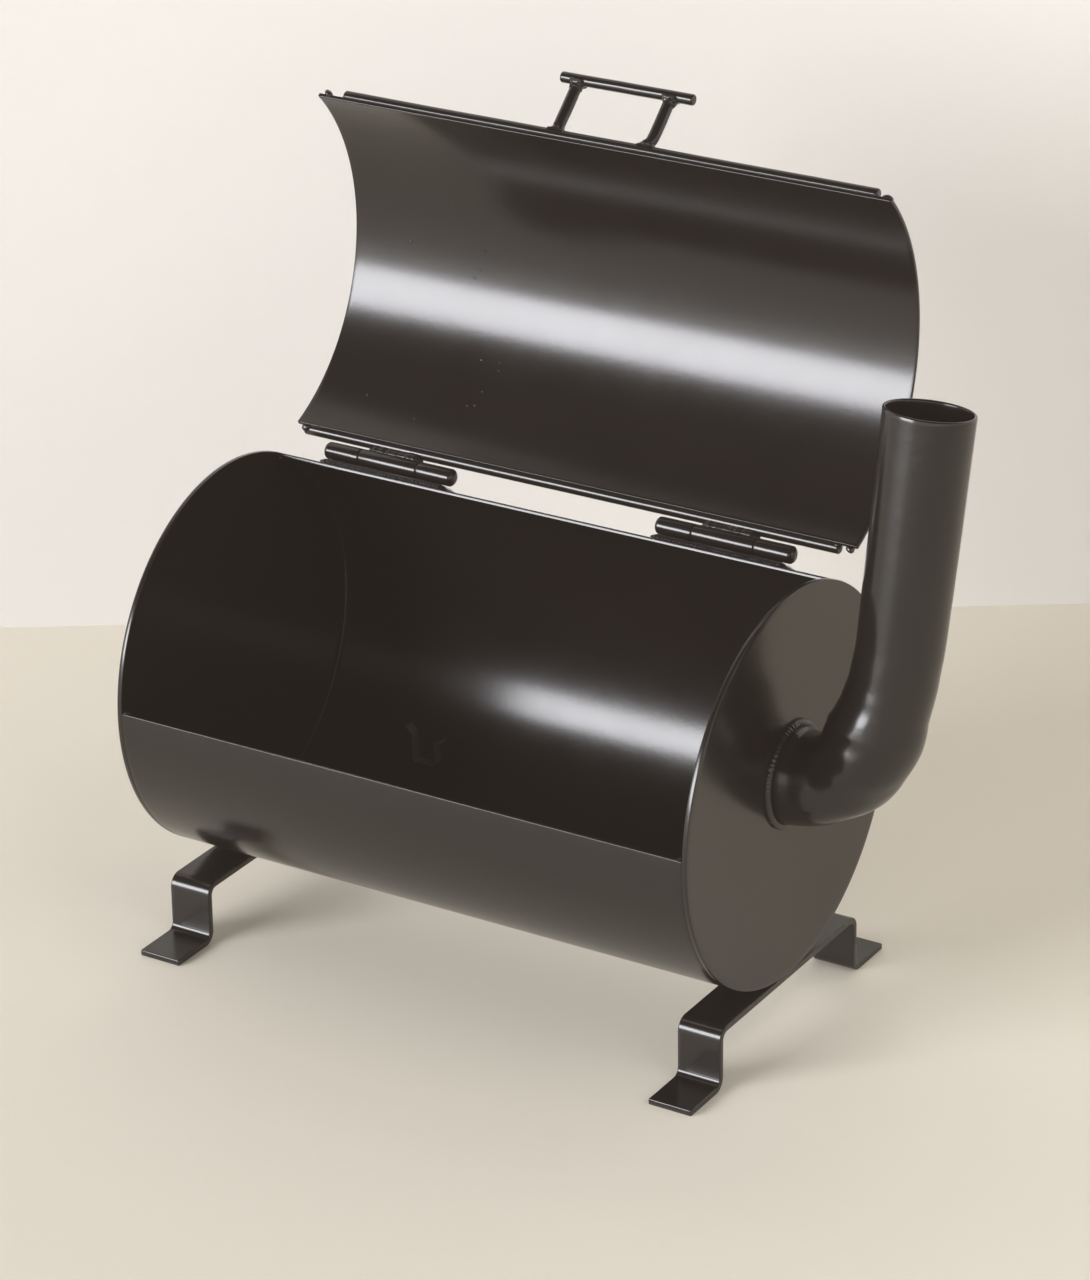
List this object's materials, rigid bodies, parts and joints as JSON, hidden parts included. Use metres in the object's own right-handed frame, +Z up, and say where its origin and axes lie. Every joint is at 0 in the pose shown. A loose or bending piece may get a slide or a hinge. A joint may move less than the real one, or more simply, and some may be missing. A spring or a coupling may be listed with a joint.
{
  "type": "barrel smoker",
  "caption": "Small steel barrel smoker with end discs, a hinged half-round lid with a bar handle, a bent side chimney and bent flat-bar feet.",
  "frame": {"origin": "on the ground under the middle of the whole object's bounding box, with the lid standing open", "axes": "+X along the barrel towards the chimney, +Y to the rear where the hinges are, +Z up"},
  "size_m": [0.3074, 0.1764, 0.3279],
  "materials": {
    "gloss_black": "gloss black powder coat with a fine orange peel",
    "weld_black": "powder coat over hand-laid weld beads",
    "chimney_black": "powder coat over a hammered, slightly dented tube",
    "pin_steel": "plain drawn steel"
  },
  "bodies": {
    "barrel": {"barrel_shell": "gloss_black", "chimney_collar": "weld_black", "chimney_pipe": "chimney_black", "clip_strip": "gloss_black", "clip_weld": "weld_black", "foot_strip_left": "gloss_black", "foot_strip_right": "gloss_black", "foot_weld_left": "weld_black", "foot_weld_right": "weld_black", "hinge_left_knuckle_far": "gloss_black", "hinge_left_knuckle_near": "gloss_black", "hinge_left_leaf": "gloss_black", "hinge_left_pin": "pin_steel", "hinge_right_knuckle_far": "gloss_black", "hinge_right_knuckle_near": "gloss_black", "hinge_right_leaf": "gloss_black", "hinge_right_pin": "pin_steel", "left_end_disc": "gloss_black", "left_seam_weld": "weld_black", "right_end_disc": "gloss_black", "right_seam_weld": "weld_black"},
    "lid": {"handle_bar": "gloss_black", "handle_post_left": "gloss_black", "handle_post_right": "gloss_black", "handle_weld_left_foot": "weld_black", "handle_weld_left_head": "weld_black", "handle_weld_right_foot": "weld_black", "handle_weld_right_head": "weld_black", "hinge_left_knuckle_middle": "gloss_black", "hinge_left_tab": "gloss_black", "hinge_right_knuckle_middle": "gloss_black", "hinge_right_tab": "gloss_black", "lid_front_rod": "gloss_black", "lid_rear_rod": "gloss_black", "lid_shell": "gloss_black"}
  },
  "joints": [
    {"name": "lid_hinge", "type": "hinge", "parent": "barrel", "child": "lid", "pos_m": [-0.0287, 0.03422, 0.17444], "axis": [1, 0, 0], "range_deg": [0, 128]}
  ]
}
